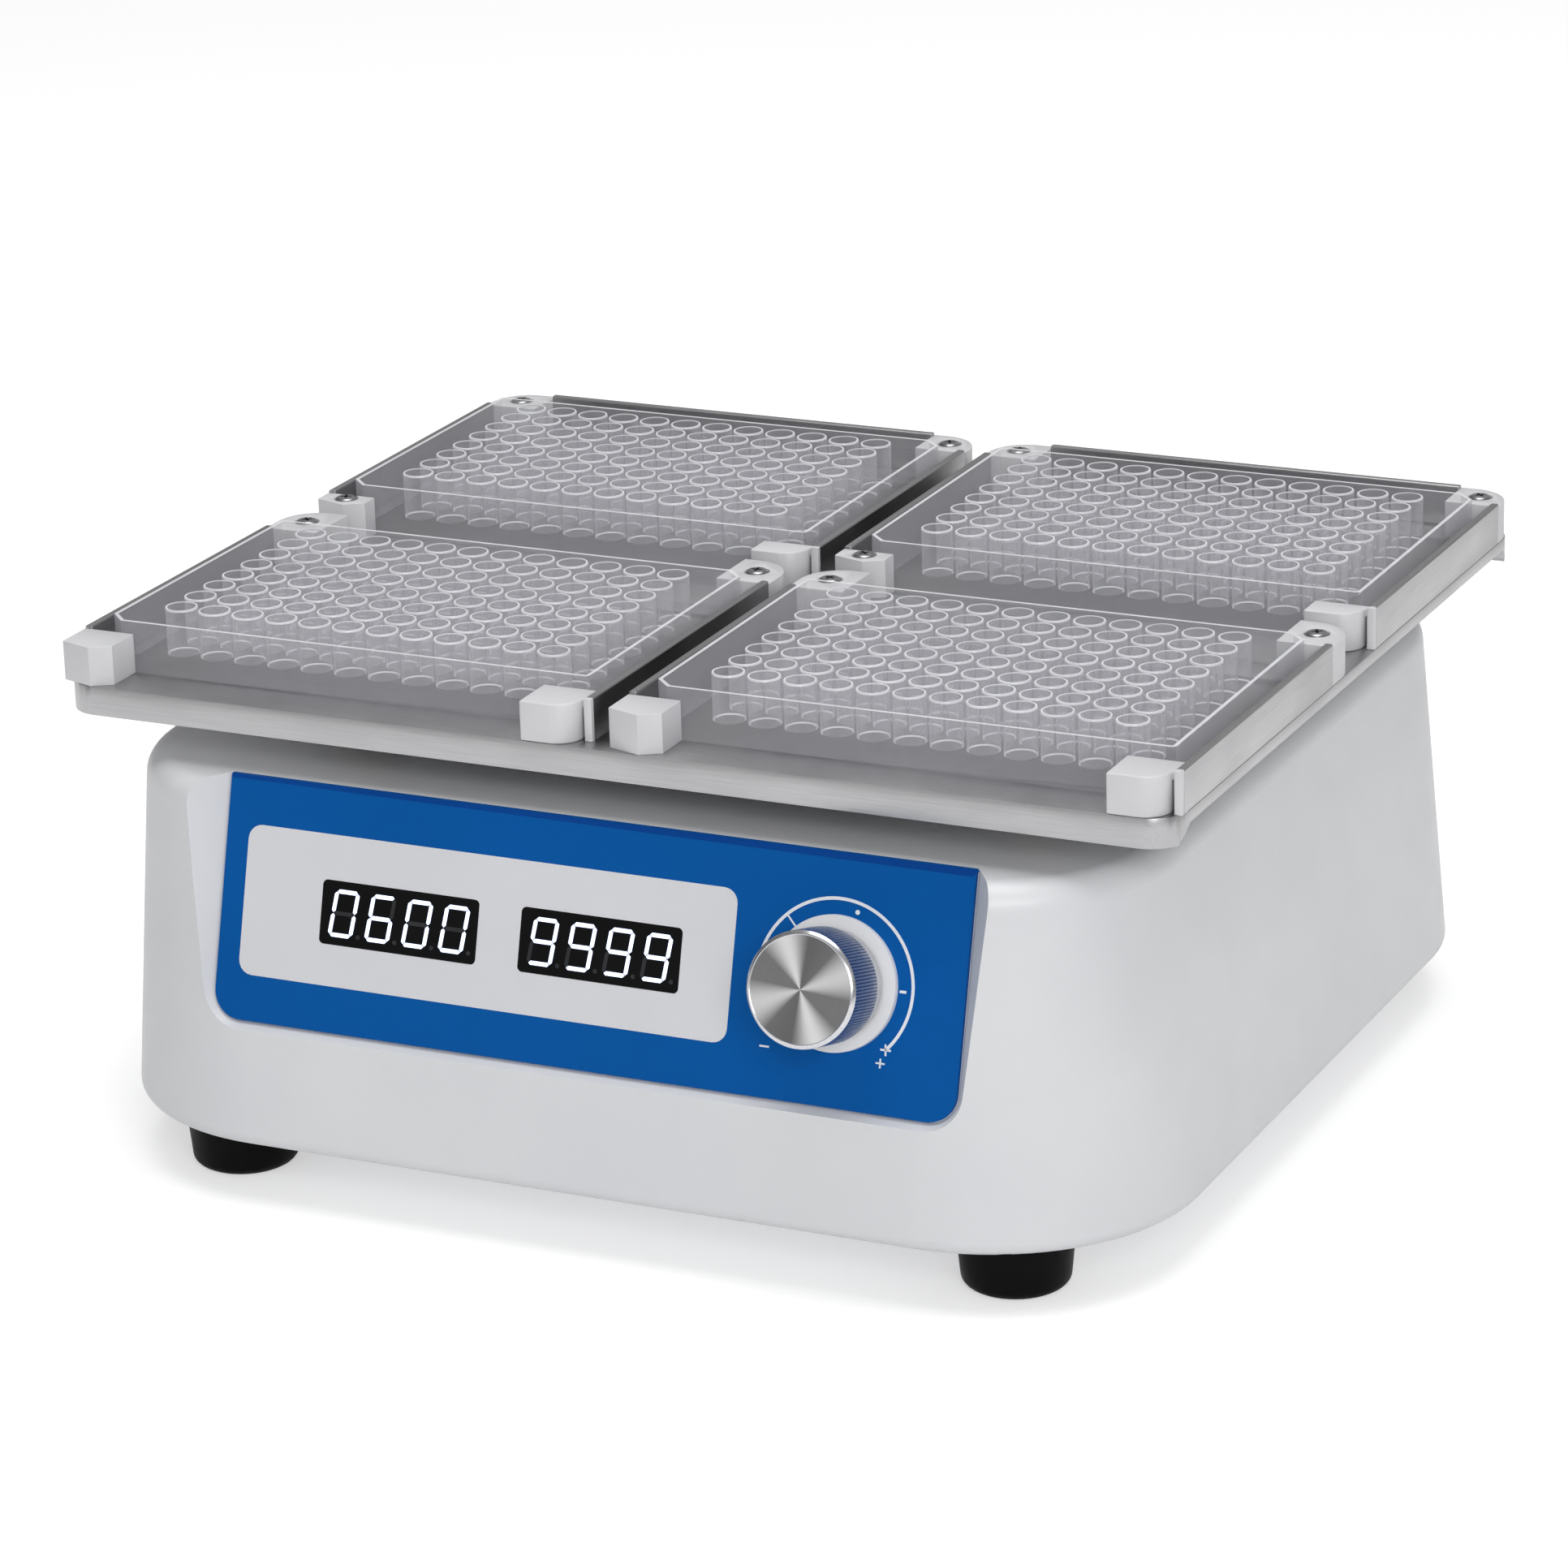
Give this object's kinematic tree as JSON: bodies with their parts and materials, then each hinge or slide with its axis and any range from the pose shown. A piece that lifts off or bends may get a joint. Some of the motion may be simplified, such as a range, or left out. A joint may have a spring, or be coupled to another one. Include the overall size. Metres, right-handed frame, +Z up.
{
  "type": "microplate shaker",
  "caption": "Bench shaker: tilted control panel with knob and displays, and an orbiting tray with clear microplates held between rails and corner blocks.",
  "frame": {"origin": "on the bench, under the middle of the outer box", "axes": "+X to the right along the front, +Y to the back, +Z up; the control panel faces -Y"},
  "size_m": [0.2816, 0.2717, 0.13],
  "materials": {
    "housing_plastic": "satin moulded plastic",
    "panel_blue": "satin printed overlay",
    "window_grey": "satin printed overlay",
    "display_black": "gloss filter",
    "collar_white": "satin",
    "knob_metal": "turned and knurled",
    "foot_rubber": "matt",
    "plated_steel": "plated",
    "screw_steel": "bright",
    "board_green": "solder mask",
    "black_plastic": "satin",
    "motor_steel": "machined",
    "bearing_steel": "ground",
    "bushing_bronze": "machined",
    "tray_aluminium": "brushed",
    "block_white": "satin",
    "plate_clear": "clear polystyrene"
  },
  "bodies": {
    "base": {"housing_shell": "housing_plastic", "bottom_plate": "plated_steel", "feet": "foot_rubber", "foot_screws": "screw_steel", "housing_screws": "screw_steel", "control_panel": "panel_blue", "display_window": "window_grey", "speed_display": "display_black", "time_display": "display_black", "display_board": "board_green", "board_standoffs": "black_plastic", "knob_collar": "collar_white", "encoder_body": "black_plastic", "chassis_plate": "plated_steel", "chassis_pillars": "plated_steel", "chassis_screws": "screw_steel", "motor_can": "motor_steel", "motor_bearings": "bearing_steel", "motor_stator": "motor_steel", "idler_blocks": "motor_steel", "power_supply": "plated_steel", "drive_board": "board_green", "power_inlet": "black_plastic", "inlet_pins": "screw_steel", "inlet_screws": "screw_steel", "rocker_frame": "black_plastic", "fuse_holder": "black_plastic"},
    "drive_crank": {"crank_shaft": "screw_steel", "counterweight": "motor_steel", "motor_rotor": "motor_steel"},
    "platform": {"tray": "tray_aluminium", "subframe": "plated_steel", "platform_hub": "motor_steel", "hub_bearing": "bearing_steel", "platform_bushings": "bushing_bronze", "side_rails": "tray_aluminium", "back_rails": "tray_aluminium", "rail_end_caps": "block_white", "front_left_blocks": "block_white", "front_right_blocks": "block_white", "back_left_blocks": "block_white", "back_right_blocks": "block_white", "block_screws": "screw_steel", "tray_screws": "screw_steel"},
    "encoder_plunger": {"encoder_plunger": "screw_steel"},
    "knob": {"control_knob": "knob_metal", "encoder_shaft": "screw_steel"},
    "rocker": {"power_rocker": "black_plastic"},
    "idler_front_left": {"idler_crank_front_left": "screw_steel"},
    "plate_front_left": {"microplate_front_left": "plate_clear"},
    "idler_back_left": {"idler_crank_back_left": "screw_steel"},
    "plate_back_left": {"microplate_back_left": "plate_clear"},
    "idler_front_right": {"idler_crank_front_right": "screw_steel"},
    "plate_front_right": {"microplate_front_right": "plate_clear"},
    "idler_back_right": {"idler_crank_back_right": "screw_steel"},
    "plate_back_right": {"microplate_back_right": "plate_clear"}
  },
  "joints": [
    {"name": "drive_spin", "type": "hinge", "parent": "base", "child": "drive_crank", "pos_m": [0, 0.00958, 0.09], "axis": [0, 0, 1], "continuous": true},
    {"name": "platform_orbit", "type": "hinge", "parent": "drive_crank", "child": "platform", "pos_m": [0, 0.01108, 0.106], "axis": [0, 0, 1], "continuous": true},
    {"name": "idler_spin_front_left", "type": "hinge", "parent": "base", "child": "idler_front_left", "pos_m": [-0.085, -0.05542, 0.09], "axis": [0, 0, 1], "continuous": true},
    {"name": "idler_spin_back_left", "type": "hinge", "parent": "base", "child": "idler_back_left", "pos_m": [-0.085, 0.07458, 0.09], "axis": [0, 0, 1], "continuous": true},
    {"name": "idler_spin_front_right", "type": "hinge", "parent": "base", "child": "idler_front_right", "pos_m": [0.085, -0.05542, 0.09], "axis": [0, 0, 1], "continuous": true},
    {"name": "idler_spin_back_right", "type": "hinge", "parent": "base", "child": "idler_back_right", "pos_m": [0.085, 0.07458, 0.09], "axis": [0, 0, 1], "continuous": true},
    {"name": "knob_push", "type": "slide", "parent": "base", "child": "encoder_plunger", "axis": [0, 0.9636, -0.2672], "range_m": [0, 0.0006], "stiffness_N_per_m": 3000},
    {"name": "knob_turn", "type": "hinge", "parent": "encoder_plunger", "child": "knob", "pos_m": [0.0627, -0.11306, 0.07148], "axis": [0, -0.9636, 0.2672], "continuous": true},
    {"name": "power_switch", "type": "hinge", "parent": "base", "child": "rocker", "pos_m": [0.032, 0.12408, 0.044], "axis": [1, 0, 0], "range_deg": [0, 24]},
    {"name": "plate_lift_front_left", "type": "slide", "parent": "platform", "child": "plate_front_left", "axis": [0, 0, 1], "range_m": [0, 0.03]},
    {"name": "plate_lift_back_left", "type": "slide", "parent": "platform", "child": "plate_back_left", "axis": [0, 0, 1], "range_m": [0, 0.03]},
    {"name": "plate_lift_front_right", "type": "slide", "parent": "platform", "child": "plate_front_right", "axis": [0, 0, 1], "range_m": [0, 0.03]},
    {"name": "plate_lift_back_right", "type": "slide", "parent": "platform", "child": "plate_back_right", "axis": [0, 0, 1], "range_m": [0, 0.03]}
  ],
  "couplings": [
    {"joint": "platform_orbit", "follows": "drive_spin", "ratio": -1},
    {"joint": "idler_spin_front_left", "follows": "drive_spin", "ratio": 1},
    {"joint": "idler_spin_back_left", "follows": "drive_spin", "ratio": 1},
    {"joint": "idler_spin_front_right", "follows": "drive_spin", "ratio": 1},
    {"joint": "idler_spin_back_right", "follows": "drive_spin", "ratio": 1}
  ]
}
